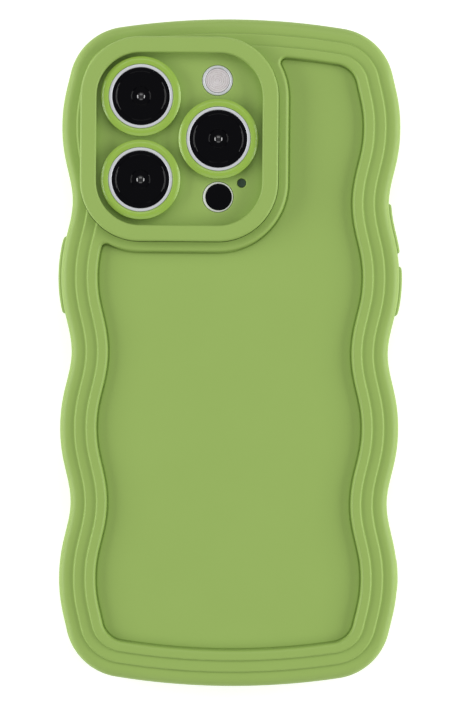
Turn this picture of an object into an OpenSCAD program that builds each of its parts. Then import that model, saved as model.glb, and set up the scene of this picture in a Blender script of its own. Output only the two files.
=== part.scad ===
// Wavy-edged protective case for a phone of the 6.1-inch class.
// The case lies face down on its front lip: +Z is its back, +Y its camera end, +X its volume side.
// The origin is under the middle of the case, on the plane that the front lip rests on.

/* [Phone pocket] */
// Width of the pocket, across the phone
pocket_w = 71.2; // [70.8:0.1:71.6]
// Length of the pocket, along the phone
pocket_l = 147.2; // [146.6:0.1:147.8]
// Depth of the pocket, the phone's thickness
pocket_d = 8.0; // [7.8:0.1:8.4]
// Corner radius of the pocket
pocket_r = 9.5; // [9:0.5:11]
// Height of the front lip above the phone's glass
lip_h = 1.2; // [1:0.1:1.6]
// How far the front lip reaches in over the glass
lip_reach = 1.8; // [1.2:0.1:2.4]

/* [Wavy outline] */
// Middle of the wave, measured from the centre line
side_mean = 38.3; // [38.1:0.05:38.5]
// Height of the wave either side of its middle
wave_height = 1.28; // [1:0.02:1.36]
// How far the flanks of each wave are filled out, which narrows its troughs
wave_fullness = 0.25; // [0:0.05:0.3]
// Length of one wave along the side
wave_pitch = 35.16; // [34.8:0.02:35.5]
// Half the length of the case, at the middle of its ends
end_reach = 78; // [77.6:0.1:78.4]
// Radius of the slightly bowed ends
crown_r = 170; // [160:5:200]
// Height up the side at which the corner's arc takes over from the wave
corner_start = 65.2; // [64.8:0.1:65.8]

/* [Back] */
// Thickness of the flat back panel
panel_t = 1.6; // [1.4:0.1:1.8]
// Rise of each of the three contour bands
band_rise = 0.6; // [0.5:0.05:0.8]
// Distance of the first step from the outline
step_one = 3.4; // [3.1:0.05:3.6]
// Distance of the second step from the outline
step_two = 6.1; // [5.8:0.05:6.3]
// Distance of the panel's visible edge from the outline
panel_edge = 8.5; // [8.2:0.1:8.8]
// How far the panel's rim is tucked under the third band
panel_tuck = 1.5; // [1:0.1:1.8]

/* [Camera surround] */
// Middle of the camera guard across the case
guard_x = -12.1; // [-12.5:0.1:-11.7]
// Middle of the camera guard along the case
guard_y = 49.7; // [49.4:0.1:49.9]
// Outer width of the guard
guard_w = 46.2; // [45.8:0.1:46.6]
// Outer length of the guard
guard_l = 47.7; // [47.3:0.1:48.1]
// Outer corner radius of the guard
guard_r = 14; // [13.5:0.5:14.5]
// Width of the guard's rim
guard_rim = 3.75; // [3.6:0.05:3.9]
// Height of the guard above the back panel
guard_h = 4.1; // [3.8:0.1:4.6]
// Width of the ledge beside the guard
ledge_side = 2.3; // [2.1:0.05:2.5]
// Width of the ledge below the guard
ledge_foot = 2.3; // [2.1:0.05:2.5]
// Thickness of the plate that carries the lens rings
plate_t = 1.3; // [1.2:0.1:1.4]
// How far the plate's rim is tucked under the guard
plate_tuck = 1.5; // [1:0.1:1.8]

/* [Lenses] */
// Outer diameter of a coloured lens ring
ring_d = 18.6; // [18.2:0.1:18.8]
// Height of a lens ring above its plate
ring_h = 2.1; // [2:0.1:2.4]
// Diameter of the seat that takes the phone's lens turret
seat_d = 14.6; // [14.4:0.1:14.7]
// Diameter of the bore that holds the silver bezel
bezel_d = 15.1; // [15:0.05:15.2]
// Diameter of the dark cover glass
glass_d = 13.5; // [13.2:0.1:13.8]
// Diameter of the flash and sensor holes
small_hole_d = 7.15; // [6.8:0.05:7.4]
// Diameter of the microphone hole
mic_d = 2.15; // [1.9:0.05:2.4]

/* [Buttons and sockets] */
// Length of the power button
power_l = 18.2; // [16:0.1:19]
// Length of each volume button
volume_l = 11.7; // [10.8:0.1:12]
// Height of the buttons, across the side wall
button_h = 5.0; // [4.4:0.2:5.4]
// How far the buttons stand out of the wavy side
button_proud = 0.74; // [0.6:0.02:0.9]
// How far a button travels when pressed
button_travel = 0.3; // [0.2:0.02:0.34]
// Width of the charging socket's opening
port_w = 12.6; // [11:0.1:13.4]
// Height of the charging socket's opening
port_h = 6.0; // [5:0.1:6.4]

/* [Hidden] */
$fn = 64;

// How far a cutting shape runs past the face it cuts
past = 1;
// Clearance between an insert and its seat
slip = 0.05;
// Clearance round a button in its recess
button_gap = 0.25;

// Heights above the plane of the front lip
floor_z = lip_h + pocket_d;
panel_z = floor_z + panel_t;
band_one_z = panel_z + band_rise;
band_two_z = band_one_z + band_rise;
band_three_z = band_two_z + band_rise;
guard_z = panel_z + guard_h;
plate_z = panel_z + plate_t;
ring_z = plate_z + ring_h;
key_z = lip_h + pocket_d / 2;

// Rounding of the outer wall and of the guard's rim, in short straight steps
foot_round = 0.5;
shoulder_low = 0.35;
shoulder_high = 0.9;
shoulder_drop = 1.2;
guard_round = 0.5;

// Places of the lenses and the small parts on the camera plate
lens_upper = [-21.1, 59.6];
lens_lower = [-21.1, 40.2];
lens_side = [-3, 49.8];
flash_at = [-3.3, 63.5];
sensor_at = [-3, 36.3];
mic_at = [2.5, 39.6];

// Heights of a lens's inserts, counted down from the top of its ring
bezel_foot_z = ring_z - 1.3;
bezel_z = ring_z - 0.3;
glass_z = ring_z - 0.5;
glass_shelf_t = 0.2;
glass_shelf_w = 0.3;
ring_edge = 0.45;
ring_wall = (ring_d - bezel_d) / 2;

// The shelf at the foot of a small hole, and the small inserts that stand on it
small_shelf_t = 0.4;
small_shelf_w = 1.1;
mic_shelf_w = 0.35;
flash_rim = 0.65;
sensor_rim = 0.4;
disc_drop = 0.1;
mesh_drop = 0.5;

// Places along the sides of what the sides carry
power_y = 18;
volume_up_y = 29.4;
volume_down_y = 14.7;
switch_y = 42.6;
switch_l = 11.5;
switch_h = 5.4;
grip_pad_y = -52;
grip_pad_l = 8.2;
grip_pad_proud = 0.2;

// A plane beyond everything on the sides
beyond_x = side_mean + wave_height + button_proud + past;

// A button's flat inner face, its stem and the thin wall behind it
web_t = 0.55;
stem_gap = 0.05;
stem_h = 2.4;
stem_short = 5;
recess_x = pocket_w / 2 + web_t;
cap_x = recess_x + button_travel + 0.1;

// Sound holes beside the charging socket
sound_hole_d = 1.7;
sound_hole_pitch = 2.9;
sound_hole_first = 11.2;
sound_hole_count = 4;

// Number of straight pieces in each stretch of the outline
side_steps = 24;
corner_steps = 8;
crown_steps = 5;
run_steps = 8;

case_green = [0.59, 0.69, 0.38];
ring_green = [0.56, 0.71, 0.28];
silver = [0.74, 0.75, 0.77];
near_black = [0.04, 0.04, 0.05];
pale_grey = [0.85, 0.86, 0.88];
dark_grey = [0.2, 0.24, 0.2];

// The wavy side: its distance from the centre line, its slope and its outward normal
function turn(y) = 360 * y / wave_pitch;
function half_width(y) = side_mean - wave_height * cos(turn(y)) + wave_fullness * (1 - cos(2 * turn(y))) / 2;
function slope(y) = 2 * PI / wave_pitch * (wave_height * sin(turn(y)) + wave_fullness * sin(2 * turn(y)));
function side_normal(y) = [1, -slope(y)] / norm([1, -slope(y)]);
function side_point(y, inset) = [half_width(y), y] - inset * side_normal(y);

// The corner: an arc that leaves the wave at corner_start and meets the bowed end without a kink
crown_centre = [0, end_reach - crown_r];
corner_normal = side_normal(corner_start);
from_crown = side_point(corner_start, 0) - crown_centre;
corner_r = (from_crown * from_crown - crown_r * crown_r) / (2 * (from_crown * corner_normal - crown_r));
corner_centre = side_point(corner_start, corner_r);
corner_from = atan2(corner_normal[1], corner_normal[0]);
corner_to = atan2(corner_centre[1] - crown_centre[1], corner_centre[0]);

function arc(centre, r, from, to, steps) =
    [for (i = [1:steps]) let (a = from + (to - from) * i / steps) centre + r * [cos(a), sin(a)]];

// One quarter of the outline, set in by inset, from the middle of the +X side to the middle of the +Y end
function quarter(inset) = concat(
    [for (i = [0:side_steps]) side_point(corner_start * i / side_steps, inset)],
    arc(corner_centre, corner_r - inset, corner_from, corner_to, corner_steps),
    arc(crown_centre, crown_r - inset, corner_to, 90, crown_steps));

function turned(points, sx, sy) = [for (p = points) [p[0] * sx, p[1] * sy]];
function inner_points(points) = [for (i = [1:len(points) - 2]) points[i]];
function backwards(points) = [for (i = [len(points) - 1:-1:0]) points[i]];

// The whole outline: four mirrored quarters that share their end points
function outline(inset) = let (q = quarter(inset), between = inner_points(q)) concat(
    q,
    turned(backwards(between), -1, 1),
    [[-q[0][0], 0]],
    turned(between, -1, -1),
    [[0, -q[len(q) - 1][1]]],
    turned(backwards(between), 1, -1));

// A slice of the outline, set in by inset, between two heights
module slab(inset, low, high) {
    translate([0, 0, low])
        linear_extrude(height = high - low)
            polygon(outline(inset));
}

// An upright block with round corners, centred on at
module round_block(at, w, l, r, low, high) {
    translate([at[0], at[1], low])
        union() {
            translate([-w / 2 + r, -l / 2, 0])
                cube([w - 2 * r, l, high - low]);
            translate([-w / 2, -l / 2 + r, 0])
                cube([w, l - 2 * r, high - low]);
            for (sx = [-1, 1], sy = [-1, 1])
                translate([sx * (w / 2 - r), sy * (l / 2 - r), 0])
                    cylinder(r = r, h = high - low);
        }
}

// The phone's outline, grown by margin
module phone_block(margin, low, high) {
    round_block([0, 0], pocket_w + 2 * margin, pocket_l + 2 * margin, pocket_r + margin, low, high);
}

// The guard's outline, grown by margin
module guard_block(margin, low, high) {
    round_block([guard_x, guard_y], guard_w + 2 * margin, guard_l + 2 * margin, guard_r + margin, low, high);
}

// The outline of the ledge that stands out from under the guard, trimmed all round
module ledge_block(trim, low, high) {
    w = guard_w + 2 * (ledge_side - trim);
    l = guard_l + 2 * (ledge_foot - trim);
    round_block([guard_x, guard_y], w, l, guard_r + ledge_side - trim, low, high);
}

// A stadium-shaped bar through the +X wall, from x = near to x = far
module side_bar(y_mid, length, height, near, far) {
    translate([near, y_mid, key_z])
        rotate([0, 90, 0])
            union() {
                translate([-height / 2, -(length - height) / 2, 0])
                    cube([height, length - height, far - near]);
                for (side = [-1, 1])
                    translate([0, side * (length - height) / 2, 0])
                        cylinder(d = height, h = far - near);
            }
}

// The same bar with its outer end on the wavy side's own curve, moved out by proud
module wavy_bar(y_mid, length, height, near, proud) {
    low_y = y_mid - length / 2 - past;
    high_y = y_mid + length / 2 + past;
    run = [for (i = [0:run_steps]) side_point(low_y + (high_y - low_y) * i / run_steps, -proud)];
    intersection() {
        translate([0, 0, key_z - height])
            linear_extrude(height = 2 * height)
                polygon(concat(run, [[near, high_y], [near, low_y]]));
        side_bar(y_mid, length, height, near, beyond_x);
    }
}

// A button: a cap that follows the wave, and a stem that reaches the phone's own key
module button(y_mid, length) {
    color(case_green)
        union() {
            wavy_bar(y_mid, length, button_h, cap_x, button_proud);
            side_bar(y_mid, length - stem_short, stem_h, pocket_w / 2 + stem_gap, cap_x + slip);
        }
}

// The recess and the stem slot that a button needs in the wall
module button_recess(y_mid, length) {
    wider = 2 * button_gap;
    side_bar(y_mid, length + wider, button_h + wider, recess_x, beyond_x);
    side_bar(y_mid, length - stem_short + wider, stem_h + wider, pocket_w / 2 - past, recess_x + slip);
}

// The slot for the charging socket and the rows of sound holes, through the -Y end
module end_openings() {
    rotate([0, 0, -90]) {
        side_bar(0, port_w, port_h, pocket_l / 2 - past, end_reach + past);
        for (side = [-1, 1], i = [0:sound_hole_count - 1])
            translate([pocket_l / 2 - past, side * (sound_hole_first + i * sound_hole_pitch), key_z])
                rotate([0, 90, 0])
                    cylinder(d = sound_hole_d, h = end_reach - pocket_l / 2 + 2 * past);
    }
}

// The solid side wall, the three contour bands and the low grip pad on the +X side
module frame_body() {
    slab(foot_round, 0, foot_round);
    slab(0, foot_round, band_one_z - shoulder_drop);
    slab(shoulder_low, band_one_z - shoulder_drop, band_one_z - shoulder_drop / 2);
    slab(shoulder_high, band_one_z - shoulder_drop / 2, band_one_z);
    slab(step_one, band_one_z, band_two_z);
    slab(step_two, band_two_z, band_three_z);
    wavy_bar(grip_pad_y, grip_pad_l, button_h, recess_x, grip_pad_proud);
}

// The rebate for the panel's rim, which stops short of the deck under the camera guard
module panel_rebate() {
    difference() {
        slab(panel_edge - panel_tuck, floor_z - past, panel_z);
        ledge_block(panel_tuck, floor_z - 2 * past, panel_z + past);
    }
}

// The window that shows the panel, which stops at the ledge beside the guard
module panel_window() {
    difference() {
        slab(panel_edge, panel_z - past / 2, band_three_z + past);
        ledge_block(0, panel_z - past, band_three_z + 2 * past);
    }
}

module bumper_frame() {
    color(case_green)
        difference() {
            frame_body();
            phone_block(-lip_reach, -past, lip_h + past);
            phone_block(0, lip_h, floor_z);
            panel_rebate();
            panel_window();
            guard_block(slip, panel_z, band_three_z + past);
            guard_block(-guard_rim, floor_z - past, panel_z + past);
            button_recess(volume_up_y, volume_l);
            button_recess(volume_down_y, volume_l);
            mirror([1, 0, 0])
                button_recess(power_y, power_l);
            side_bar(switch_y, switch_l, switch_h, pocket_w / 2 - past, beyond_x);
            end_openings();
        }
}

module back_panel() {
    color(case_green)
        difference() {
            slab(panel_edge - panel_tuck + slip, floor_z, panel_z);
            ledge_block(panel_tuck - slip, floor_z - past, panel_z + past);
        }
}

module camera_guard() {
    color(case_green)
        difference() {
            union() {
                guard_block(0, panel_z, guard_z - guard_round);
                guard_block(-guard_round, guard_z - guard_round, guard_z);
            }
            guard_block(-guard_rim, panel_z - past, guard_z + past);
            guard_block(plate_tuck - guard_rim, panel_z - past, plate_z);
        }
}

// A hole through the camera plate, with a shelf shelf_w wide left at its foot where shelf_w isn't 0
module plate_hole(at, d, shelf_w) {
    foot = shelf_w > 0 ? panel_z + small_shelf_t : panel_z - past;
    translate([at[0], at[1], foot])
        cylinder(d = d, h = plate_z + past - foot);
    translate([at[0], at[1], panel_z - past])
        cylinder(d = d - 2 * shelf_w, h = plate_t + 2 * past);
}

module camera_plate() {
    color(case_green)
        difference() {
            guard_block(plate_tuck - guard_rim - slip, panel_z, plate_z);
            for (at = [lens_upper, lens_lower, lens_side])
                plate_hole(at, seat_d, 0);
            for (at = [flash_at, sensor_at])
                plate_hole(at, small_hole_d, small_shelf_w);
            plate_hole(mic_at, mic_d, mic_shelf_w);
        }
}

// A coloured ring with rounded top edges, and a shelf inside that carries the bezel
module lens_ring(at) {
    bore = bezel_d / 2;
    color(ring_green)
        translate([at[0], at[1], plate_z])
            rotate_extrude()
                union() {
                    translate([seat_d / 2, 0])
                        square([ring_d / 2 - seat_d / 2, bezel_foot_z - plate_z]);
                    translate([bore, 0])
                        square([ring_wall, ring_h - ring_edge]);
                    translate([bore + ring_edge, 0])
                        square([ring_wall - 2 * ring_edge, ring_h]);
                    for (x = [ring_edge, ring_wall - ring_edge])
                        translate([bore + x, ring_h - ring_edge])
                            circle(r = ring_edge);
                }
}

// A silver bezel with a thin shelf at its foot that carries the glass
module lens_bezel(at) {
    color(silver)
        translate([at[0], at[1], bezel_foot_z])
            difference() {
                cylinder(d = bezel_d - 2 * slip, h = bezel_z - bezel_foot_z);
                translate([0, 0, glass_shelf_t])
                    cylinder(d = glass_d, h = bezel_z - bezel_foot_z + past);
                translate([0, 0, -past])
                    cylinder(d = glass_d - 2 * glass_shelf_w, h = 3 * past);
            }
}

module lens_glass(at) {
    foot = bezel_foot_z + glass_shelf_t;
    color(near_black)
        translate([at[0], at[1], foot])
            cylinder(d = glass_d - 2 * slip, h = glass_z - foot);
}

// A small collar on the shelf of a plate hole, standing slip proud of the plate
module small_bezel(at, rim, tint) {
    d = small_hole_d - 2 * slip;
    color(tint)
        translate([at[0], at[1], panel_z + small_shelf_t])
            difference() {
                cylinder(d = d, h = plate_t - small_shelf_t + slip);
                translate([0, 0, -past])
                    cylinder(d = d - 2 * rim, h = plate_t + 2 * past);
            }
}

// A disc on the shelf of a plate hole, its top drop below the plate's face
module small_disc(at, d, drop, tint) {
    color(tint)
        translate([at[0], at[1], panel_z + small_shelf_t])
            cylinder(d = d, h = plate_t - small_shelf_t - drop);
}

module flash_lens() {
    small_disc(flash_at, small_hole_d - 4 * slip - 2 * flash_rim, disc_drop, pale_grey);
}

module sensor_window() {
    small_disc(sensor_at, small_hole_d - 4 * slip - 2 * sensor_rim, disc_drop, near_black);
}

module mic_mesh() {
    small_disc(mic_at, mic_d - 2 * slip, mesh_drop, dark_grey);
}

module power_button() {
    mirror([1, 0, 0])
        button(power_y, power_l);
}

bumper_frame();
back_panel();
camera_guard();
camera_plate();
lens_ring(lens_upper);  // lens_ring_upper
lens_ring(lens_lower);  // lens_ring_lower
lens_ring(lens_side);  // lens_ring_side
lens_bezel(lens_upper);  // lens_bezel_upper
lens_bezel(lens_lower);  // lens_bezel_lower
lens_bezel(lens_side);  // lens_bezel_side
lens_glass(lens_upper);  // lens_glass_upper
lens_glass(lens_lower);  // lens_glass_lower
lens_glass(lens_side);  // lens_glass_side
small_bezel(flash_at, flash_rim, silver);  // flash_bezel
flash_lens();
small_bezel(sensor_at, sensor_rim, pale_grey);  // sensor_bezel
sensor_window();
mic_mesh();
power_button();
button(volume_up_y, volume_l);  // volume_up_button
button(volume_down_y, volume_l);  // volume_down_button
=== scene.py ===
# Looks of a wavy-edged phone case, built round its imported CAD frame.
# The case lies face down: +Z is its back, +Y its camera end, +X its volume side.
# Shapes are worked out in millimetres, and each finished piece is turned to metres.
import math

import bmesh
import bpy
from mathutils import Matrix, Vector


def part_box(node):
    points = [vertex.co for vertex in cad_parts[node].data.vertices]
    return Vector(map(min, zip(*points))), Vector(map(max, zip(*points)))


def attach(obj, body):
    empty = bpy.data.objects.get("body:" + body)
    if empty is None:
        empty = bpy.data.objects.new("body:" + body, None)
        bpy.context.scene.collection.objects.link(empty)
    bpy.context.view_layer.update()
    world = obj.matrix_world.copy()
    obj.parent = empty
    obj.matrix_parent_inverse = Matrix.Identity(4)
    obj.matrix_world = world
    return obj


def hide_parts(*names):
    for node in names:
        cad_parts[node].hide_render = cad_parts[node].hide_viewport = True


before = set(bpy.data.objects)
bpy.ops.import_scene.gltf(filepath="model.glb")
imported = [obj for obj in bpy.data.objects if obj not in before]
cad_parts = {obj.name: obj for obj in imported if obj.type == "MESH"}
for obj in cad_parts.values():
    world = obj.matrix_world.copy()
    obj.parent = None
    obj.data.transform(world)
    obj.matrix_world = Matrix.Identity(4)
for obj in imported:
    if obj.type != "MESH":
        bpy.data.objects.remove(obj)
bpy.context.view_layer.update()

MM = 0.001


def node_box(node):
    """Lowest and highest corner of a CAD node, in millimetres."""
    low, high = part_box(node)
    return low / MM, high / MM


def node_middle(node):
    low, high = node_box(node)
    return (low + high) / 2


def node_size(node):
    low, high = node_box(node)
    return high - low


# ---------------------------------------------------------------- sizes of the case
frame_low, frame_high = node_box("bumper_frame")
panel_low, panel_high = node_box("back_panel")
guard_low, guard_high = node_box("camera_guard")

# Heights above the plane that the front lip rests on
LIP_Z = 1.2
FLOOR_Z = panel_low.z
PANEL_Z = panel_high.z
TOP_BAND_Z = frame_high.z
BAND_RISE = (TOP_BAND_Z - PANEL_Z) / 3
GUARD_Z = guard_high.z
PLATE_Z = node_box("camera_plate")[1].z

# The phone's pocket, and the front opening inside the lip
POCKET = Vector((71.2, 147.2))
POCKET_R = 9.5
LIP_REACH = 1.8

# The wavy sides and the bowed ends
WAVE_HEIGHT = 1.28
WAVE_FULLNESS = 0.25
WAVE_PITCH = 35.16
SIDE_MEAN = -frame_low.x - WAVE_HEIGHT
END_REACH = frame_high.y
CROWN_R = 170
CORNER_START = 65.2

# The contour bands, measured in from the outline: each step leans from its foot to its crown
STEP_ONE = 3.4
STEP_TWO = 6.1
STEP_FOOT = 0.04
STEP_CROWN = 0.12
STEP_FOOT_R = 0.08
STEP_CROWN_R = 0.5

# The window that shows the back panel, and the panel's rim tucked under the third band
WINDOW_EDGE = 8.5
WINDOW_FILLET = 1.3
WINDOW_CROWN_R = 0.8
WINDOW_LEAN = 0.06
PANEL_TUCK = 1.5

# The wall's outer edges, and the parting line round it
BACK_EDGE_R = 2.0
FRONT_EDGE_R = 0.9
PARTING_W = 0.1
PARTING_DEPTH = 0.04

# The fine groove round the panel, and the one round the guard's foot
GROOVE_W = 0.5
GROOVE_DEPTH = 0.18
GROOVE_SLOPE = 0.3
GROOVE_TUCK = 0.1
GUARD_GROOVE_W = 0.12

# The camera guard and the ledge that stands out from under it
GUARD_AT = Vector((guard_low + guard_high).xy) / 2
GUARD_SIZE = Vector((guard_high - guard_low).xy)
GUARD_R = 14
GUARD_RIM = 3.75
LEDGE = Vector((2.3, 2.3))
PLATE_TUCK = 1.5

# What sits in the camera plate
LENSES = ["upper", "lower", "side"]
SEAT_R = 7.3
SMALL_HOLE_R = 3.575
SMALL_SHELF_W = 1.1
SMALL_SHELF_Z = PANEL_Z + 0.4
MIC_R = 1.075
MIC_SHELF_W = 0.35
SENSOR_SHIFT = Vector((0.14, 0))

# What is let into the walls
KEY_Z = node_middle("power_button").z
SWITCH_Y = 42.6
SWITCH_SIZE = Vector((11.5, 5.4))
PORT_SIZE = Vector((12.6, 6.0))
SOUND_HOLE_D = 1.7
SOUND_HOLE_PITCH = 2.9
SOUND_HOLE_FIRST = 11.2
SOUND_HOLES_A_SIDE = 4
GRIP_PAD_Y = -52
GRIP_PAD_SIZE = Vector((8.2, 5.0))
GRIP_PAD_PROUD = 0.2

# The buttons, the stems behind them and the wall left behind a recess
BUTTON_GAP = 0.25
BUTTON_WEB = 0.55
BUTTON_PROUD = 0.74
BUTTON_EDGE_R = 0.6
STEM_SHORT = 5
STEM_H = 2.4
STEM_LAP = 0.5

# Clearance between an insert and its seat, and how far a cutter runs past what it cuts
SLIP = 0.05
PAST = 1.0
HAIR = 0.001

# Rounding radii of small moulded and turned edges
CRISP = 0.05
EASED = 0.1
SOFT = 0.15

# Distance between the points of a curved outline, and the points round a lens's parts
STEP = 0.6
FINE_CIRCLE = 128

# Halvings that place a fillet on the wave
HALVINGS = 40


# ---------------------------------------------------------------- outlines, as lists of points
def arc(centre, radius, start, end):
    """Points on an arc, about STEP apart, without its first point."""
    count = max(3, math.ceil(abs(end - start) * radius / STEP))
    angles = [start + (end - start) * i / count for i in range(1, count + 1)]
    return [centre + radius * Vector((math.cos(a), math.sin(a))) for a in angles]


def circle(centre, radius, count=96):
    angles = [math.tau * i / count for i in range(count)]
    return [Vector(centre) + radius * Vector((math.cos(a), math.sin(a))) for a in angles]


def round_rectangle(centre, size, radius):
    points = []
    for turn, (side_x, side_y) in enumerate([(1, 1), (-1, 1), (-1, -1), (1, -1)]):
        offset = Vector((side_x * (size[0] / 2 - radius), side_y * (size[1] / 2 - radius)))
        corner = Vector(centre) + offset
        start = turn * math.pi / 2
        points.append(corner + radius * Vector((math.cos(start), math.sin(start))))
        points += arc(corner, radius, start, start + math.pi / 2)
    return points


def flipped(points, side_x, side_y):
    return [Vector((p.x * side_x, p.y * side_y)) for p in points]


def angle_of(vector):
    return math.atan2(vector.y, vector.x)


def half_width(y):
    turn = math.tau * y / WAVE_PITCH
    return SIDE_MEAN - WAVE_HEIGHT * math.cos(turn) + WAVE_FULLNESS * (1 - math.cos(2 * turn)) / 2


def side_normal(y):
    turn = math.tau * y / WAVE_PITCH
    slope = math.tau / WAVE_PITCH * (WAVE_HEIGHT * math.sin(turn) + WAVE_FULLNESS * math.sin(2 * turn))
    return Vector((1, -slope)).normalized()


def side_point(y, inset=0):
    return Vector((half_width(y), y)) - inset * side_normal(y)


def side_run(start, end, inset=0):
    """Points along the +X side, both ends included."""
    count = math.ceil(abs(end - start) / STEP)
    return [side_point(start + (end - start) * i / count, inset) for i in range(count + 1)]


# The corner's arc leaves the wave at CORNER_START and meets the bowed end without a kink
crown_centre = Vector((0, END_REACH - CROWN_R))
from_crown = side_point(CORNER_START) - crown_centre
corner_r = (from_crown.length_squared - CROWN_R ** 2) / (
    2 * (from_crown.dot(side_normal(CORNER_START)) - CROWN_R))
corner_centre = side_point(CORNER_START, corner_r)
corner_from = angle_of(side_normal(CORNER_START))
corner_to = angle_of(corner_centre - crown_centre)


def end_turn(inset=0, crown_angle=math.pi / 2):
    """The corner and the bowed end, from the top of the +X side round to crown_angle."""
    corner = arc(corner_centre, corner_r - inset, corner_from, corner_to)
    return corner + arc(crown_centre, CROWN_R - inset, corner_to, crown_angle)


def outline(inset=0):
    """The whole case, anticlockwise from the foot of the +X side."""
    end = end_turn(inset)
    back = end[::-1][1:]
    return (side_run(-CORNER_START, CORNER_START, inset) + end + flipped(back, -1, 1)
            + flipped(side_run(CORNER_START, -CORNER_START, inset), -1, 1)
            + flipped(end, -1, -1) + flipped(back, 1, -1))


def where_circles_meet(centre_a, radius_a, centre_b, radius_b):
    """The right-hand point where two circles meet."""
    between = centre_b - centre_a
    along = (radius_a ** 2 - radius_b ** 2 + between.length_squared) / (2 * between.length)
    across = math.sqrt(radius_a ** 2 - along ** 2)
    way = between.normalized()
    sides = [centre_a + along * way + s * across * Vector((-way.y, way.x)) for s in (-1, 1)]
    return max(sides, key=lambda point: point.x)


def window_outline():
    """The window in the bands that shows the back panel: it stops at the ledge beside the guard."""
    ledge_r = GUARD_R + LEDGE.x
    reach = GUARD_SIZE / 2 + LEDGE
    upper_right = GUARD_AT + Vector((reach.x - ledge_r, reach.y - ledge_r))
    lower_right = GUARD_AT + Vector((reach.x - ledge_r, ledge_r - reach.y))
    lower_left = GUARD_AT + Vector((ledge_r - reach.x, ledge_r - reach.y))

    # The fillet between the ledge and the bowed end
    upper_fillet = where_circles_meet(
        upper_right, ledge_r + WINDOW_FILLET, crown_centre, CROWN_R - WINDOW_EDGE - WINDOW_FILLET)
    crown_angle = angle_of(upper_fillet - crown_centre)
    upper_end = angle_of(upper_right - upper_fillet) + math.tau

    # The fillet between the ledge and the wavy -X side, found by halving the stretch that holds it
    low_y, high_y = lower_left.y - ledge_r - 2 * WINDOW_FILLET, lower_left.y - ledge_r / 2
    for _ in range(HALVINGS):
        middle_y = (low_y + high_y) / 2
        lower_fillet = flipped([side_point(middle_y, WINDOW_EDGE + WINDOW_FILLET)], -1, 1)[0]
        if (lower_fillet - lower_left).length > ledge_r + WINDOW_FILLET:
            low_y = middle_y
        else:
            high_y = middle_y
    lower_start = angle_of(lower_left - lower_fillet)
    lower_end = math.pi - angle_of(side_normal(middle_y))
    ledge_end = angle_of(lower_fillet - lower_left)

    end = end_turn(WINDOW_EDGE)
    return (
        arc(upper_right, ledge_r, upper_end - math.pi, 0)
        + [lower_right + Vector((ledge_r, 0))]
        + arc(lower_right, ledge_r, 0, -math.pi / 2)
        + [lower_left + Vector((0, -ledge_r))]
        + arc(lower_left, ledge_r, -math.pi / 2, ledge_end)
        + arc(lower_fillet, WINDOW_FILLET, lower_start, lower_end)
        + flipped(side_run(middle_y, -CORNER_START, WINDOW_EDGE), -1, 1)[1:]
        + flipped(end, -1, -1) + flipped(end[::-1][1:], 1, -1)
        + side_run(-CORNER_START, CORNER_START, WINDOW_EDGE)
        + end_turn(WINDOW_EDGE, crown_angle)
        + arc(upper_fillet, WINDOW_FILLET, crown_angle, upper_end))


# ---------------------------------------------------------------- nodes and meshes
def add(tree, kind, inputs=None, **settings):
    """Adds one node. An input is a value, or the output socket that feeds it."""
    node = tree.nodes.new(kind)
    for name, value in settings.items():
        setattr(node, name, value)
    for key, value in (inputs or {}).items():
        if isinstance(value, bpy.types.NodeSocket):
            tree.links.new(value, node.inputs[key])
        else:
            node.inputs[key].default_value = value
    return node


def geometry_tree(name, sockets):
    """An empty geometry tree with named inputs and one mesh output."""
    tree = bpy.data.node_groups.new(name, "GeometryNodeTree")
    tree.interface.new_socket("Mesh", in_out="OUTPUT", socket_type="NodeSocketGeometry")
    for socket, kind in sockets.items():
        tree.interface.new_socket(socket, in_out="INPUT", socket_type="NodeSocket" + kind)
    return tree, add(tree, "NodeGroupInput").outputs


def end_tree(tree, geometry, material):
    realized = add(tree, "GeometryNodeRealizeInstances", {"Geometry": geometry})
    coated = add(tree, "GeometryNodeSetMaterial", {"Geometry": realized.outputs[0], "Material": material})
    add(tree, "NodeGroupOutput", {"Mesh": coated.outputs[0]})


def linked(name, data):
    obj = bpy.data.objects.new(name, data)
    bpy.context.scene.collection.objects.link(obj)
    return obj


def evaluated_mesh(obj):
    """A plain mesh of the object with its modifiers applied. The object itself is removed."""
    graph = bpy.context.evaluated_depsgraph_get()
    mesh = bpy.data.meshes.new_from_object(obj.evaluated_get(graph))
    bpy.data.objects.remove(obj)
    return mesh


def grown(tree, values):
    """The plain mesh that a geometry tree makes from its named inputs."""
    holder = linked("holder", bpy.data.meshes.new("holder"))
    modifier = holder.modifiers.new("tree", "NODES")
    modifier.node_group = tree
    for item in tree.interface.items_tree:
        if item.in_out == "INPUT":
            modifier[item.identifier] = values[item.name]
    return evaluated_mesh(holder)


def point_curve(points, closed):
    """A curve object through points given as (x, y, rounding radius)."""
    curve = bpy.data.curves.new("points", "CURVE")
    curve.dimensions = "3D"
    spline = curve.splines.new("POLY")
    spline.points.add(len(points) - 1)
    spline.use_cyclic_u = closed
    for target, (x, y, radius) in zip(spline.points, points):
        target.co = (x, y, 0, 1)
        target.radius = radius
    return linked("points", curve)


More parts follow.
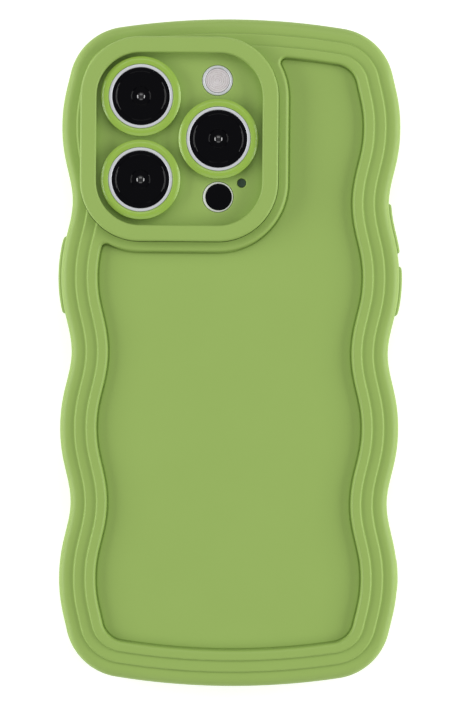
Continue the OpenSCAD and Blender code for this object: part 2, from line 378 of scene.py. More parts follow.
def moulding_tree():
    """Rounds a section's corners to their own radii, then moves it along a path."""
    tree, given = geometry_tree("swept moulding", {
        "Path": "Object", "Section": "Object", "Rounding Steps": "Int", "Material": "Material"})
    path = add(tree, "GeometryNodeObjectInfo", {"Object": given["Path"]})
    section = add(tree, "GeometryNodeObjectInfo", {"Object": given["Section"]})
    upright = add(tree, "GeometryNodeSetCurveNormal", {"Curve": path.outputs["Geometry"]}, mode="Z_UP")
    rounded = add(tree, "GeometryNodeFilletCurve", {
        "Curve": section.outputs["Geometry"],
        "Count": given["Rounding Steps"],
        "Radius": add(tree, "GeometryNodeInputRadius").outputs[0]}, mode="POLY")
    swept_mesh = add(tree, "GeometryNodeCurveToMesh", {
        "Curve": upright.outputs[0], "Profile Curve": rounded.outputs[0]})
    end_tree(tree, swept_mesh.outputs[0], given["Material"])
    return tree


def closed_up(mesh):
    """Merges doubled points, caps open ends and turns the faces outwards."""
    shell = bmesh.new()
    shell.from_mesh(mesh)
    bmesh.ops.remove_doubles(shell, verts=shell.verts, dist=HAIR / 2)
    open_edges = [edge for edge in shell.edges if edge.is_boundary]
    bmesh.ops.holes_fill(shell, edges=open_edges)
    bmesh.ops.recalc_face_normals(shell, faces=shell.faces)
    shell.to_mesh(mesh)
    shell.free()
    return mesh


def swept(path, section, material, ring=False, steps=5):
    """A solid whose section, as (outward offset, height, rounding radius), runs along a closed path.
    A ring's section is closed, and the two ends of any other section are capped."""
    rail = point_curve([(p.x, p.y, 0) for p in path], closed=True)
    profile = point_curve([(offset, -height, radius) for offset, height, radius in section], closed=ring)
    mesh = grown(MOULDING, {
        "Path": rail, "Section": profile, "Rounding Steps": steps, "Material": material})
    bpy.data.objects.remove(rail)
    bpy.data.objects.remove(profile)
    return closed_up(mesh)


def combined(mesh, operation, others):
    """A mesh with others cut out of it, for DIFFERENCE, or joined to it, for UNION."""
    body = linked("body", mesh)
    tools = [linked("tool", other) for other in others]
    for tool in tools:
        modifier = body.modifiers.new("combine", "BOOLEAN")
        modifier.operation = operation
        modifier.solver = "MANIFOLD"
        modifier.object = tool
    result = evaluated_mesh(body)
    for tool in tools:
        bpy.data.objects.remove(tool)
    return result


def piece(name, mesh, material, body="case", crease=32):
    """Shows a mesh that is in millimetres as a finished piece that stands for the CAD node of its name."""
    mesh.transform(Matrix.Scale(MM, 4))
    mesh.materials.clear()
    mesh.materials.append(material)
    mesh.polygons.foreach_set("material_index", [0] * len(mesh.polygons))
    mesh.shade_smooth()
    mesh.set_sharp_from_angle(angle=math.radians(crease))
    rough = linked(name, mesh)
    weights = rough.modifiers.new("face weights", "WEIGHTED_NORMAL")
    weights.keep_sharp = True
    finished = linked(name, evaluated_mesh(rough))
    finished.name = name + "_finish"
    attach(finished, body)
    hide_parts(name)
    return finished


# ---------------------------------------------------------------- materials
def linear(hex_colour):
    """An sRGB hex colour as the linear colour that a node takes."""
    parts = [int(hex_colour[i:i + 2], 16) / 255 for i in (0, 2, 4)]
    return [c / 12.92 if c <= 0.04045 else ((c + 0.055) / 1.055) ** 2.4 for c in parts] + [1]


def start_material(name):
    """A material with one Principled shader, and its tree, shader and Object coordinates."""
    material = bpy.data.materials.new(name)
    material.use_nodes = True
    tree = material.node_tree
    tree.nodes.clear()
    shader = add(tree, "ShaderNodeBsdfPrincipled")
    add(tree, "ShaderNodeOutputMaterial", {"Surface": shader.outputs[0]})
    place = add(tree, "ShaderNodeTexCoord").outputs["Object"]
    return material, tree, shader, place


def moulded(name, colour, deep_colour, roughness, mirror, grain_mm, grain_depth_mm):
    """A moulded plastic: a faint cloudiness in its colour and the fine grain of the spark-eroded mould."""
    material, tree, shader, place = start_material(name)
    cloud = add(tree, "ShaderNodeTexNoise", {"Vector": place, "Scale": 1 / (14 * MM), "Detail": 3})
    tint = add(tree, "ShaderNodeMix", {
        "Factor": cloud.outputs["Fac"], 6: linear(deep_colour), 7: linear(colour)}, data_type="RGBA")
    grain = add(tree, "ShaderNodeTexNoise", {
        "Vector": place, "Scale": 1 / (grain_mm * MM), "Detail": 2, "Roughness": 0.6})
    gloss = add(tree, "ShaderNodeMapRange", {
        "Value": grain.outputs["Fac"], "To Min": roughness - 0.04, "To Max": roughness + 0.04})
    bump = add(tree, "ShaderNodeBump", {
        "Height": grain.outputs["Fac"], "Distance": grain_depth_mm * MM, "Strength": 1.0})
    tree.links.new(tint.outputs[2], shader.inputs["Base Color"])
    tree.links.new(gloss.outputs[0], shader.inputs["Roughness"])
    tree.links.new(bump.outputs[0], shader.inputs["Normal"])
    shader.inputs["IOR"].default_value = 1.5
    shader.inputs["Specular IOR Level"].default_value = mirror
    return material


def moulded_tpu():
    # Soft polyurethane from a spark-eroded mould: satin, with no sharp reflections and a little light
    # let in under its skin. The real grain is about 0.05 mm across and is drawn at 0.3 mm to show.
    return moulded("moulded TPU, satin", "95B15C", "92AE59", 0.5, 0.36, 0.3, 0.004)


def polished_tpu():
    # The same plastic from a polished mould, for the lens rings: a deeper lime with soft highlights.
    return moulded("moulded TPU, polished", "94B64A", "90B246", 0.22, 0.5, 0.4, 0.002)


def turned_aluminium():
    # Lathe-turned and clear-anodised rings: fine lines round the ring stretch the highlights.
    # The real lines are about 0.02 mm apart and are drawn at 0.1 mm to show.
    material, tree, shader, place = start_material("turned aluminium, clear anodised")
    turning = add(tree, "ShaderNodeAttribute", attribute_name="turning")
    lines = add(tree, "ShaderNodeMath", {
        0: turning.outputs["Fac"], 1: math.tau / (0.1 * MM)}, operation="MULTIPLY")
    ridges = add(tree, "ShaderNodeMath", {0: lines.outputs[0]}, operation="SINE")
    bump = add(tree, "ShaderNodeBump", {
        "Height": ridges.outputs[0], "Distance": 0.0005 * MM, "Strength": 1.0})
    patches = add(tree, "ShaderNodeTexNoise", {"Vector": place, "Scale": 1 / (1.5 * MM)})
    gloss = add(tree, "ShaderNodeMapRange", {
        "Value": patches.outputs["Fac"], "To Min": 0.58, "To Max": 0.66})
    tree.links.new(bump.outputs[0], shader.inputs["Normal"])
    tree.links.new(gloss.outputs[0], shader.inputs["Roughness"])
    shader.inputs["Base Color"].default_value = linear("DDDFE2")
    shader.inputs["Metallic"].default_value = 1
    return material


def black_glass(name, mirror):
    """Polished glass that is black behind, with faint cleaning haze in its gloss."""
    material, tree, shader, place = start_material(name)
    haze = add(tree, "ShaderNodeTexNoise", {"Vector": place, "Scale": 1 / (2.5 * MM), "Detail": 4})
    gloss = add(tree, "ShaderNodeMapRange", {
        "Value": haze.outputs["Fac"], "To Min": 0.03, "To Max": 0.07})
    tree.links.new(gloss.outputs[0], shader.inputs["Roughness"])
    shader.inputs["Base Color"].default_value = linear("040407")
    shader.inputs["IOR"].default_value = 1.5
    shader.inputs["Specular IOR Level"].default_value = mirror
    return material


def coated_glass():
    # Cover glass with an anti-reflection coat: a deep, near-black gloss that hardly mirrors.
    return black_glass("coated cover glass", 0.14)


def bare_glass():
    # The small dome in the cover glass has no coat, so that it alone catches the lamps as bright points.
    return black_glass("uncoated glass dome", 1)


def frosted_diffuser():
    # Frosted polycarbonate over a lamp: milky, with a warm tint where the lamp shows through.
    material, tree, shader, place = start_material("frosted polycarbonate")
    cloud = add(tree, "ShaderNodeTexNoise", {"Vector": place, "Scale": 1 / (1.2 * MM)})
    tint = add(tree, "ShaderNodeMix", {
        "Factor": cloud.outputs["Fac"], 6: linear("C6BCBE"), 7: linear("DAD7D9")}, data_type="RGBA")
    tree.links.new(tint.outputs[2], shader.inputs["Base Color"])
    shader.inputs["Roughness"].default_value = 0.35
    return material


def pale_acetal():
    # Natural white acetal: a pale, slightly waxy plastic with a soft gloss.
    material, tree, shader, place = start_material("natural acetal")
    cloud = add(tree, "ShaderNodeTexNoise", {"Vector": place, "Scale": 1 / (1.5 * MM)})
    tint = add(tree, "ShaderNodeMix", {
        "Factor": cloud.outputs["Fac"], 6: linear("C9CDC4"), 7: linear("D6D9D2")}, data_type="RGBA")
    tree.links.new(tint.outputs[2], shader.inputs["Base Color"])
    shader.inputs["Roughness"].default_value = 0.4
    return material


def woven_steel():
    # Blackened steel wire mesh: dark, with a dull metallic glint on the crowns of the wires.
    material, tree, shader, place = start_material("blackened steel wire")
    soot = add(tree, "ShaderNodeTexNoise", {"Vector": place, "Scale": 1 / (0.3 * MM)})
    tint = add(tree, "ShaderNodeMix", {
        "Factor": soot.outputs["Fac"], 6: linear("4F6556"), 7: linear("6B8371")}, data_type="RGBA")
    tree.links.new(tint.outputs[2], shader.inputs["Base Color"])
    shader.inputs["Metallic"].default_value = 0.3
    shader.inputs["Roughness"].default_value = 0.5
    return material


MOULDING = moulding_tree()
TPU = moulded_tpu()
LIME_TPU = polished_tpu()
ALUMINIUM = turned_aluminium()
GLASS = coated_glass()
BARE_GLASS = bare_glass()
DIFFUSER = frosted_diffuser()
ACETAL = pale_acetal()
STEEL = woven_steel()


# ---------------------------------------------------------------- cutters through the walls
def stadium(length, height, grow=0):
    """A bar with round ends, with points along its straight sides too, so that it can follow a curve."""
    corners = round_rectangle((0, 0), (length + 2 * grow, height + 2 * grow), height / 2 + grow)
    points = []
    for start, end in zip(corners, corners[1:] + corners[:1]):
        count = max(1, round((end - start).length / STEP))
        points += [start.lerp(end, i / count) for i in range(count)]
    return points


def on_side(mesh, y_mid, side, floor_x):
    """Stands a mesh made flat, as (along, up, out), on the wavy side's own curve.
    What lies deeper than PAST is put on the flat plane at floor_x."""
    for vertex in mesh.vertices:
        along, up, out = vertex.co
        y = y_mid + along
        x = floor_x if out < -PAST else half_width(y) + out
        vertex.co = (side * x, y, KEY_Z + up)
    return closed_up(mesh)


def on_end(mesh, floor_y):
    """Stands a mesh made flat, as (along, up, out), on the curve of the -Y end."""
    for vertex in mesh.vertices:
        along, up, out = vertex.co
        surface = crown_centre.y + math.sqrt(CROWN_R ** 2 - along ** 2)
        y = floor_y if out < -PAST else surface + out
        vertex.co = (along, -y, KEY_Z + up)
    return closed_up(mesh)


def flared(path, flare):
    """A cutter through a wall, whose mouth at the wall's face opens out by a rounding of flare."""
    return swept(path, [
        (0, -2 * PAST, 0), (0, HAIR, flare), (2 * flare, HAIR, 0), (2 * flare, 2 * PAST, 0)], TPU)


def stem(size, y_mid, side, grow, inner_x):
    """The bar behind a button that reaches the phone's own key, or the slot for it."""
    bar = swept(stadium(size.y - STEM_SHORT, STEM_H, grow), [(0, -2 * PAST, 0), (0, -PAST, 0)], TPU)
    outer_x = POCKET.x / 2 + BUTTON_WEB + STEM_LAP
    for vertex in bar.vertices:
        along, up, out = vertex.co
        vertex.co = (side * (inner_x if out < -1.5 * PAST else outer_x), y_mid + along, KEY_Z + up)
    return closed_up(bar)


def button_recess(node, side):
    """The recess and the stem slot that a button needs in the wall."""
    size = node_size(node)
    y_mid = node_middle(node).y
    recess_x = POCKET.x / 2 + BUTTON_WEB
    edge_r = 0.3
    mouth = flared(stadium(size.y, size.z, BUTTON_GAP), edge_r)
    slot = stem(size, y_mid, side, BUTTON_GAP, POCKET.x / 2 - PAST)
    return [on_side(mouth, y_mid, side, recess_x), slot]


# ---------------------------------------------------------------- the case's own pieces
def moulded_wall():
    """The banded back edge, the plain side and the front edge, in one section round the outline."""
    reach_in = 2
    band_two_z = TOP_BAND_Z - BAND_RISE
    band_one_z = TOP_BAND_Z - 2 * BAND_RISE
    return swept(outline(), [
        (-STEP_TWO - reach_in, TOP_BAND_Z, 0),
        (-STEP_TWO - STEP_CROWN, TOP_BAND_Z, STEP_CROWN_R),
        (STEP_FOOT - STEP_TWO, band_two_z, STEP_FOOT_R),
        (-STEP_ONE - STEP_CROWN, band_two_z, STEP_CROWN_R),
        (STEP_FOOT - STEP_ONE, band_one_z, STEP_FOOT_R),
        (0, band_one_z, BACK_EDGE_R),
        (0, FLOOR_Z + PARTING_W / 2, 0),
        (-PARTING_DEPTH, FLOOR_Z, 0),
        (0, FLOOR_Z - PARTING_W / 2, 0),
        (0, 0, FRONT_EDGE_R),
        (-reach_in, 0, 0)], TPU)


def grip_pad():
    edge_r = 0.25
    flat_half = 0.3
    pad = swept(stadium(*GRIP_PAD_SIZE), [
        (0, -2 * PAST, 0), (0, GRIP_PAD_PROUD, edge_r),
        (-GRIP_PAD_SIZE.y / 2 + flat_half, GRIP_PAD_PROUD, 0)], TPU)
    return on_side(pad, GRIP_PAD_Y, 1, POCKET.x / 2 + PAST)


def phone_space():
    """The pocket for the phone, and the opening inside the lip with its two rounded edges."""
    reach_in = 3
    back_r, front_r = 0.8, 0.5
    inner_r, inner_flare = 0.35, 0.8
    rim_r, rim_flare = 0.5, 1.2
    pocket = swept(round_rectangle((0, 0), POCKET, POCKET_R), [
        (-reach_in, FLOOR_Z, 0), (0, FLOOR_Z, back_r), (0, LIP_Z, front_r), (-reach_in, LIP_Z, 0)], TPU)
    opening_size = POCKET - 2 * Vector((LIP_REACH, LIP_REACH))
    opening = swept(round_rectangle((0, 0), opening_size, POCKET_R - LIP_REACH), [
        (inner_flare, LIP_Z + PAST, 0), (inner_flare, LIP_Z + HAIR, 0), (0, LIP_Z + HAIR, inner_r),
        (0, -HAIR, rim_r), (rim_flare, -HAIR, 0), (rim_flare, -PAST, 0)], TPU)
    return [pocket, opening]


def back_cuts():
    """The window for the panel, the guard's seat and the window for the phone's cameras."""
    window_flare = 1
    edge_r, edge_flare = 0.3, 0.8
    window = swept(window_outline(), [
        (window_flare, TOP_BAND_Z + PAST, 0), (window_flare, TOP_BAND_Z + HAIR, 0),
        (0, TOP_BAND_Z + HAIR, WINDOW_CROWN_R), (-WINDOW_LEAN, PANEL_Z, 0),
        (PANEL_TUCK, PANEL_Z, 0), (PANEL_TUCK, FLOOR_Z - PAST, 0)], TPU)
    guard_seat = swept(round_rectangle(GUARD_AT, GUARD_SIZE, GUARD_R), [
        (GUARD_GROOVE_W, TOP_BAND_Z + PAST, 0), (GUARD_GROOVE_W, PANEL_Z + BAND_RISE / 2, 0),
        (SLIP, PANEL_Z, 0)], TPU)
    camera_size = GUARD_SIZE - 2 * Vector((GUARD_RIM, GUARD_RIM))
    camera_window = swept(round_rectangle(GUARD_AT, camera_size, GUARD_R - GUARD_RIM), [
        (0, PANEL_Z + PAST, 0), (0, FLOOR_Z - HAIR, edge_r), (edge_flare, FLOOR_Z - HAIR, 0),
        (edge_flare, FLOOR_Z - PAST, 0)], TPU)
    return [window, guard_seat, camera_window]


def wall_openings():
    """The switch slot, the charging port and the rows of sound holes either side of it."""
    inside_x = POCKET.x / 2 - PAST
    inside_y = POCKET.y / 2 - PAST
    slot_r, hole_r = 0.5, 0.2
    hole_points = 32
    switch_slot = on_side(flared(stadium(*SWITCH_SIZE), slot_r), SWITCH_Y, 1, inside_x)
    port = on_end(flared(stadium(*PORT_SIZE), slot_r), inside_y)
    holes = []
    for side in (-1, 1):
        for i in range(SOUND_HOLES_A_SIDE):
            at = (side * (SOUND_HOLE_FIRST + i * SOUND_HOLE_PITCH), 0)
            hole = flared(circle(at, SOUND_HOLE_D / 2, hole_points), hole_r)
            holes.append(on_end(hole, inside_y))
    return [switch_slot, port, *holes]


def bumper_frame():
    recesses = (button_recess("volume_up_button", 1) + button_recess("volume_down_button", 1)
                + button_recess("power_button", -1))

    body = combined(moulded_wall(), "UNION", [grip_pad()])
    cuts = phone_space() + back_cuts() + wall_openings() + recesses
    body = combined(body, "DIFFERENCE", cuts)
    return piece("bumper_frame", body, TPU)


def back_panel():
    rim = PANEL_TUCK - SLIP
    reach_in = 1
    groove_z = PANEL_Z - GROOVE_DEPTH
    slab = swept(window_outline(), [
        (-reach_in, PANEL_Z, 0), (-GROOVE_W, PANEL_Z, EASED), (GROOVE_SLOPE - GROOVE_W, groove_z, CRISP),
        (GROOVE_TUCK, groove_z, CRISP), (GROOVE_TUCK, PANEL_Z, 0),
        (rim, PANEL_Z, SOFT), (rim, FLOOR_Z, SOFT), (-reach_in, FLOOR_Z, 0)], TPU)
    return piece("back_panel", slab, TPU)


def camera_guard():
    inner = -GUARD_RIM
    tuck = inner + PLATE_TUCK
    outer_edge_r, inner_edge_r = 0.65, 0.5
    ring = swept(round_rectangle(GUARD_AT, GUARD_SIZE, GUARD_R), [
        (0, PANEL_Z, 0), (0, GUARD_Z, outer_edge_r), (inner, GUARD_Z, inner_edge_r), (inner, PLATE_Z, 0),
        (tuck, PLATE_Z, 0), (tuck, PANEL_Z, 0)], TPU, ring=True, steps=8)
    return piece("camera_guard", ring, TPU)


def plate_hole(centre, radius, shelf_w, shelf_z, flare):
    """A cutter for a hole in the plate that narrows by shelf_w below shelf_z, its mouth rounded by flare."""
    return swept(circle(centre, radius), [
        (2 * flare, PLATE_Z + PAST, 0), (2 * flare, PLATE_Z + HAIR, 0), (0, PLATE_Z + HAIR, flare),
        (0, shelf_z, 0), (-shelf_w, shelf_z, 0), (-shelf_w, PANEL_Z - PAST, 0)], TPU)


def camera_plate():
    rim = PLATE_TUCK - GUARD_RIM - SLIP
    reach_in = 1
    small_edge_r, mic_edge_r = 0.3, 0.25
    slab = swept(round_rectangle(GUARD_AT, GUARD_SIZE, GUARD_R), [
        (rim - reach_in, PLATE_Z, 0), (rim, PLATE_Z, 0),
        (rim, PANEL_Z, 0), (rim - reach_in, PANEL_Z, 0)], TPU)
    seats = [plate_hole(node_middle("lens_ring_" + lens).xy, SEAT_R, HAIR, PANEL_Z, EASED)
             for lens in LENSES]
    small = [plate_hole(node_middle(node).xy, SMALL_HOLE_R, SMALL_SHELF_W, SMALL_SHELF_Z, small_edge_r)
             for node in ("flash_bezel", "sensor_bezel")]
    mic = plate_hole(node_middle("mic_mesh").xy, MIC_R, MIC_SHELF_W, SMALL_SHELF_Z, mic_edge_r)
    body = combined(slab, "DIFFERENCE", [*seats, *small, mic])
    return piece("camera_plate", body, TPU)


# ---------------------------------------------------------------- lenses and the small parts
def turning_marks(mesh, centre):
    """Keeps each point's distance from its own axis, in metres, for the turned finish."""
    marks = mesh.attributes.new("turning", "FLOAT", "POINT")
    marks.data.foreach_set("value", [(v.co.xy - centre).length * MM for v in mesh.vertices])


def from_axis(path_r, section):
    """A section given by distance from its axis, as one given by offset from a path of radius path_r."""
    return [(r - path_r, z, rounding) for r, z, rounding in section]


def lens_ring(lens):
    """A ring with a wide chamfer outside and a small bevel inside, both rolled into its flat crown."""
    chamfer_w, chamfer_h, outer_roll_r = 0.75, 0.4, 0.8
    bevel_w, bevel_h, inner_roll_r = 0.45, 0.2, 0.5
    node = "lens_ring_" + lens
    centre = node_middle(node).xy
    outer_r = node_size(node).x / 2
    low, high = node_box(node)
    bore_r = node_size("lens_bezel_" + lens).x / 2 + SLIP
    shelf_z = node_box("lens_bezel_" + lens)[0].z
    ring = swept(circle(centre, bore_r, FINE_CIRCLE), from_axis(bore_r, [
        (SEAT_R, low.z, 0), (outer_r, low.z, EASED), (outer_r, high.z - chamfer_h, SOFT),
        (outer_r - chamfer_w, high.z, outer_roll_r), (bore_r + bevel_w, high.z, inner_roll_r),
        (bore_r, high.z - bevel_h, EASED),
        (bore_r, shelf_z, 0), (SEAT_R, shelf_z, 0)]), LIME_TPU, ring=True, steps=6)
    return piece(node, ring, LIME_TPU)


def lens_bezel(lens):
    outer_edge_r = 0.12
    bevel, bevel_r = 0.1, 0.03
    shelf_w = 0.3
    node = "lens_bezel_" + lens
    centre = node_middle(node).xy
    outer_r = node_size(node).x / 2
    low, high = node_box(node)
    glass_r = node_size("lens_glass_" + lens).x / 2 + SLIP
    glass_low = node_box("lens_glass_" + lens)[0].z
    ring = swept(circle(centre, outer_r, FINE_CIRCLE), from_axis(outer_r, [
        (outer_r, low.z, 0), (outer_r, high.z, outer_edge_r), (glass_r + bevel, high.z, CRISP),
        (glass_r, high.z - bevel, bevel_r), (glass_r, glass_low, 0), (glass_r - shelf_w, glass_low, 0),
        (glass_r - shelf_w, low.z, 0)]), ALUMINIUM, ring=True, steps=4)
    turning_marks(ring, centre)
    return piece(node, ring, ALUMINIUM)


def lens_glass(lens):
    """A cover glass with a shallow dish in its middle, a small dome in the dish and a fine ring groove."""
    dome_r, dome_h, dome_steps = 0.9, 0.32, 10
    dish_depth, dish_floor_r, dish_mouth_r = 0.33, 2.1, 2.3
    groove_r, groove_half, groove_depth = 5.72, 0.14, 0.1
    node = "lens_glass_" + lens
    centre = node_middle(node).xy
    glass_r = node_size(node).x / 2
    low, high = node_box(node)
    dish_z = high.z - dish_depth
    ball_r = (dome_r ** 2 + dome_h ** 2) / (2 * dome_h)
    dome = [(r, dish_z + dome_h - ball_r + math.sqrt(ball_r ** 2 - r ** 2), 0)
            for r in (dome_r * i / dome_steps for i in range(dome_steps + 1))]
    disc = swept(circle(centre, glass_r), from_axis(glass_r, dome + [
        (dish_floor_r, dish_z, EASED), (dish_mouth_r, high.z, CRISP),
        (groove_r - groove_half, high.z, 0), (groove_r, high.z - groove_depth, 0),
        (groove_r + groove_half, high.z, 0),
        (glass_r, high.z, SOFT), (glass_r, low.z, 0), (0, low.z, 0)]), GLASS, steps=4)
    finished = piece(node, disc, GLASS)
    finished.data.materials.append(BARE_GLASS)
    for face in finished.data.polygons:
        at = face.center / MM
        if (at.xy - centre).length < dome_r and at.z > low.z + HAIR:
            face.material_index = 1
    return finished


def small_ring(node, hole_r, material, shift=Vector((0, 0))):
    """A collar whose hole may sit a little off its middle, by shift."""
    mouth_r = 0.2
    centre = node_middle(node).xy
    outer_r = node_size(node).x / 2
    low, high = node_box(node)
    ring = swept(circle(centre, outer_r), from_axis(outer_r, [
        (outer_r, low.z, 0), (outer_r, high.z, SOFT), (hole_r, high.z, mouth_r), (hole_r, low.z, 0)]),
        material, ring=True, steps=4)
    for vertex in ring.vertices:
        if (vertex.co.xy - centre).length < (hole_r + outer_r) / 2:
            vertex.co.xy += shift
    turning_marks(ring, centre)
    return piece(node, ring, material)


def flash_lens():
    """A moulded diffuser: each of its rings slopes up from the middle, then drops in a short step."""
    ridge_count, ridge_h, slope_share, crest_r = 6, 0.12, 0.85, 0.04
    node = "flash_lens"
    centre = node_middle(node).xy
    outer_r = node_size(node).x / 2
    low, high = node_box(node)
    ridge_w = outer_r / ridge_count
    ridges = []
    for i in range(ridge_count):
        ridges += [(i * ridge_w, high.z - ridge_h, 0), ((i + slope_share) * ridge_w, high.z, crest_r)]
    disc = swept(circle(centre, outer_r), from_axis(outer_r, ridges + [
        (outer_r, high.z - ridge_h, 0), (outer_r, low.z, 0), (0, low.z, 0)]), DIFFUSER, steps=2)
    return piece(node, disc, DIFFUSER)


def sensor_window():
    node = "sensor_window"
    centre = node_middle(node).xy + SENSOR_SHIFT
    outer_r = node_size(node).x / 2
    low, high = node_box(node)
    edge_r = 0.2
    disc = swept(circle(centre, outer_r), from_axis(outer_r, [
        (0, high.z, 0), (outer_r, high.z, edge_r), (outer_r, low.z, 0), (0, low.z, 0)]), GLASS)
    return piece(node, disc, GLASS)


def weave_tree():
    """Round wires woven over and under each other, trimmed to a disc."""
    tree, given = geometry_tree("woven wire", {
        "Disc Radius": "Float", "Wire Pitch": "Float", "Wire Radius": "Float", "Material": "Material"})
    count = add(tree, "ShaderNodeMath", {
        0: given["Disc Radius"], 1: given["Wire Pitch"]}, operation="DIVIDE")
    whole = add(tree, "ShaderNodeMath", {0: count.outputs[0]}, operation="FLOOR")
    many = add(tree, "ShaderNodeMath", {0: whole.outputs[0], 1: 2, 2: 1}, operation="MULTIPLY_ADD")
    start = add(tree, "ShaderNodeMath", {
        0: whole.outputs[0], 1: given["Wire Pitch"]}, operation="MULTIPLY")
    low = add(tree, "ShaderNodeMath", {0: start.outputs[0], 1: -1}, operation="MULTIPLY")
    row = add(tree, "GeometryNodeMeshLine", {
        "Count": many.outputs[0],
        "Start Location": add(tree, "ShaderNodeCombineXYZ", {"Y": low.outputs[0]}).outputs[0],
        "Offset": add(tree, "ShaderNodeCombineXYZ", {"Y": given["Wire Pitch"]}).outputs[0]})
    wire = add(tree, "GeometryNodeCurvePrimitiveLine", {"Start": (-1, 0, 0), "End": (1, 0, 0)})
    place = add(tree, "ShaderNodeSeparateXYZ", {"Vector": add(tree, "GeometryNodeInputPosition").outputs[0]})
    squares = [add(tree, "ShaderNodeMath", {0: s, 1: 2}, operation="POWER")
               for s in (given["Disc Radius"], place.outputs["Y"])]
    chord = add(tree, "ShaderNodeMath", {
        0: squares[0].outputs[0], 1: squares[1].outputs[0]}, operation="SUBTRACT")
    half = add(tree, "ShaderNodeMath", {0: chord.outputs[0]}, operation="SQRT")
    wires = add(tree, "GeometryNodeInstanceOnPoints", {
        "Points": row.outputs["Mesh"], "Instance": wire.outputs["Curve"],
        "Scale": add(tree, "ShaderNodeCombineXYZ", {"X": half.outputs[0], "Y": 1, "Z": 1}).outputs[0]})
    loose = add(tree, "GeometryNodeRealizeInstances", {"Geometry": wires.outputs[0]})
    fine = add(tree, "GeometryNodeResampleCurve", {"Curve": loose.outputs[0], "Count": 24})
    waves = []
    for axis in ("X", "Y"):
        turns = add(tree, "ShaderNodeMath", {
            0: place.outputs[axis], 1: given["Wire Pitch"]}, operation="DIVIDE")
        angle = add(tree, "ShaderNodeMath", {0: turns.outputs[0], 1: math.pi}, operation="MULTIPLY")
        waves.append(add(tree, "ShaderNodeMath", {0: angle.outputs[0]}, operation="COSINE").outputs[0])
    over = add(tree, "ShaderNodeMath", {0: waves[0], 1: waves[1]}, operation="MULTIPLY")
    lift = add(tree, "ShaderNodeMath", {0: over.outputs[0], 1: given["Wire Radius"]}, operation="MULTIPLY")
    woven = add(tree, "GeometryNodeSetPosition", {
        "Geometry": fine.outputs[0],
        "Offset": add(tree, "ShaderNodeCombineXYZ", {"Z": lift.outputs[0]}).outputs[0]})
    round_wire = add(tree, "GeometryNodeCurvePrimitiveCircle", {
        "Resolution": 6, "Radius": given["Wire Radius"]})
    one_way = add(tree, "GeometryNodeCurveToMesh", {
        "Curve": woven.outputs[0], "Profile Curve": round_wire.outputs["Curve"], "Fill Caps": True})
    other_way = add(tree, "GeometryNodeTransform", {
        "Geometry": one_way.outputs[0], "Rotation": (math.pi, 0, math.pi / 2)})
    both = add(tree, "GeometryNodeJoinGeometry")
    tree.links.new(one_way.outputs[0], both.inputs[0])
    tree.links.new(other_way.outputs[0], both.inputs[0])
    end_tree(tree, both.outputs[0], given["Material"])
    return tree


def mic_mesh():
    node = "mic_mesh"
    middle = node_middle(node)
    low, high = node_box(node)
    wire_r, wire_pitch = 0.06, 0.3
    disc_r = node_size(node).x / 2 - wire_r
    mesh = grown(weave_tree(), {
        "Disc Radius": disc_r, "Wire Pitch": wire_pitch, "Wire Radius": wire_r, "Material": STEEL})
    mesh.transform(Matrix.Translation((middle.x, middle.y, high.z - 2 * wire_r)))
    disc_top = high.z - 5 * wire_r
    backing = swept(circle(middle.xy, disc_r), from_axis(disc_r, [
        (0, disc_top, 0), (disc_r, disc_top, 0), (disc_r, low.z, 0), (0, low.z, 0)]), STEEL)
    whole = bmesh.new()
    whole.from_mesh(mesh)
    whole.from_mesh(backing)
    whole.to_mesh(mesh)
    whole.free()
    return piece(node, mesh, STEEL)


# ---------------------------------------------------------------- buttons
def button(node, side, body):
    size = node_size(node)
    y_mid = node_middle(node).y
    inner_x = POCKET.x / 2 + SLIP
    behind_gap = 0.4
    reach_in = 0.5
    cap_x = POCKET.x / 2 + BUTTON_WEB + behind_gap
    spine = -size.z / 2 + HAIR / 4
    cap = swept(stadium(size.y, size.z), [
        (-reach_in, -2 * PAST, 0), (0, -2 * PAST, 0), (0, BUTTON_PROUD, BUTTON_EDGE_R),
        (spine, BUTTON_PROUD, 0)], TPU, steps=7)
    cap = on_side(cap, y_mid, side, cap_x)
    mesh = combined(cap, "UNION", [stem(size, y_mid, side, 0, inner_x)])
    return piece(node, mesh, TPU, body)


# ---------------------------------------------------------------- the model
bumper_frame()
back_panel()
camera_guard()
camera_plate()
for lens in LENSES:
    lens_ring(lens)
    lens_bezel(lens)
    lens_glass(lens)
flash_hole_r = node_size("flash_lens").x / 2 + SLIP
sensor_hole_r = node_size("sensor_window").x / 2 + SLIP
small_ring("flash_bezel", flash_hole_r, ALUMINIUM)
small_ring("sensor_bezel", sensor_hole_r, ACETAL, SENSOR_SHIFT)
flash_lens()
sensor_window()
mic_mesh()
button("power_button", -1, "power_key")
button("volume_up_button", 1, "volume_up_key")
button("volume_down_button", 1, "volume_down_key")


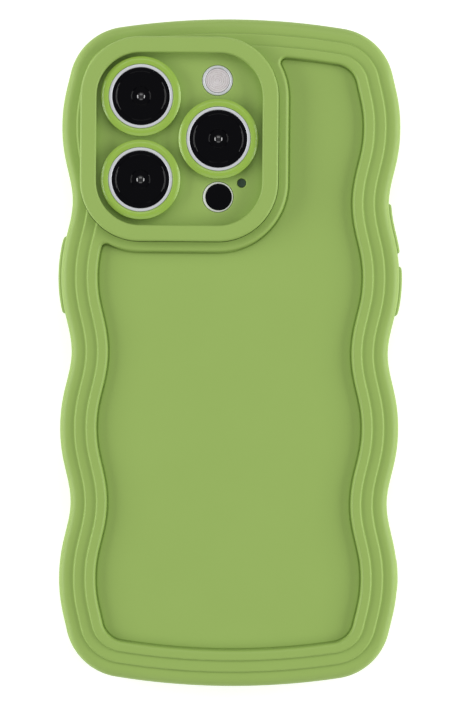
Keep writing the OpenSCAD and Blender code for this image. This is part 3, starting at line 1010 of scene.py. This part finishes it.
# ---------------------------------------------------------------- floor, light and camera
def light_table():
    # A white acrylic table lit a little from below, so that the case lies on plain white
    material, _, shader, _ = start_material("white acrylic table")
    shader.inputs["Base Color"].default_value = linear("EDEDED")
    shader.inputs["Roughness"].default_value = 0.6
    shader.inputs["Emission Color"].default_value = linear("FFFFFF")
    shader.inputs["Emission Strength"].default_value = 0.45
    half = 8.0
    corners = [(-half, -half, 0), (half, -half, 0), (half, half, 0), (-half, half, 0)]
    mesh = bpy.data.meshes.new("table")
    mesh.from_pydata(corners, [], [(0, 1, 2, 3)])
    mesh.materials.append(material)
    linked("table", mesh)


# Metres from the middle of the case to each lamp
LAMP_DISTANCE = 1.0


def softbox(name, direction, elevation, size, watts):
    """A soft rectangular lamp that faces the case from a compass direction in degrees, at an elevation."""
    light = bpy.data.lights.new(name, "AREA")
    light.shape = "RECTANGLE"
    light.size, light.size_y = size
    light.energy = watts
    lamp = linked(name, light)
    turn, rise = math.radians(direction), math.radians(elevation)
    way = Vector((math.cos(turn) * math.cos(rise), math.sin(turn) * math.cos(rise), math.sin(rise)))
    lamp.location = way * LAMP_DISTANCE
    lamp.rotation_euler = way.to_track_quat("Z", "Y").to_euler()
    lamp.visible_camera = False


light_table()
softbox("left softbox", 180, 21.5, (0.9, 0.4), 7.6)
softbox("right softbox", 0, 21.5, (0.9, 0.4), 8.3)
softbox("top softbox", 90, 50, (0.9, 0.6), 2.6)
softbox("foot softbox", -90, 35, (0.9, 0.4), 1.2)

world = bpy.data.worlds.new("studio")
world.use_nodes = True
world.node_tree.nodes["Background"].inputs["Color"].default_value = linear("FFFFFF")
world.node_tree.nodes["Background"].inputs["Strength"].default_value = 0.29
bpy.context.scene.world = world
bpy.context.scene.view_settings.view_transform = "Standard"

# The camera looks straight down on the back from CAMERA_HEIGHT metres above the panel, a hair off its
# middle, and the longer side of its view takes in VIEW_LENGTH metres
CAMERA_X = 0.07
CAMERA_Y = -0.07
CAMERA_HEIGHT = 0.9
VIEW_LENGTH = 0.16495
LEAN = 0.42
SENSOR_WIDTH = 36
camera_data = bpy.data.cameras.new("camera")
camera_data.sensor_width = SENSOR_WIDTH
camera_data.lens = SENSOR_WIDTH * CAMERA_HEIGHT / VIEW_LENGTH
camera = linked("camera", camera_data)
camera.location = (CAMERA_X * MM, CAMERA_Y * MM, CAMERA_HEIGHT + PANEL_Z * MM)
camera.rotation_euler = (0, 0, math.radians(LEAN))
bpy.context.scene.camera = camera
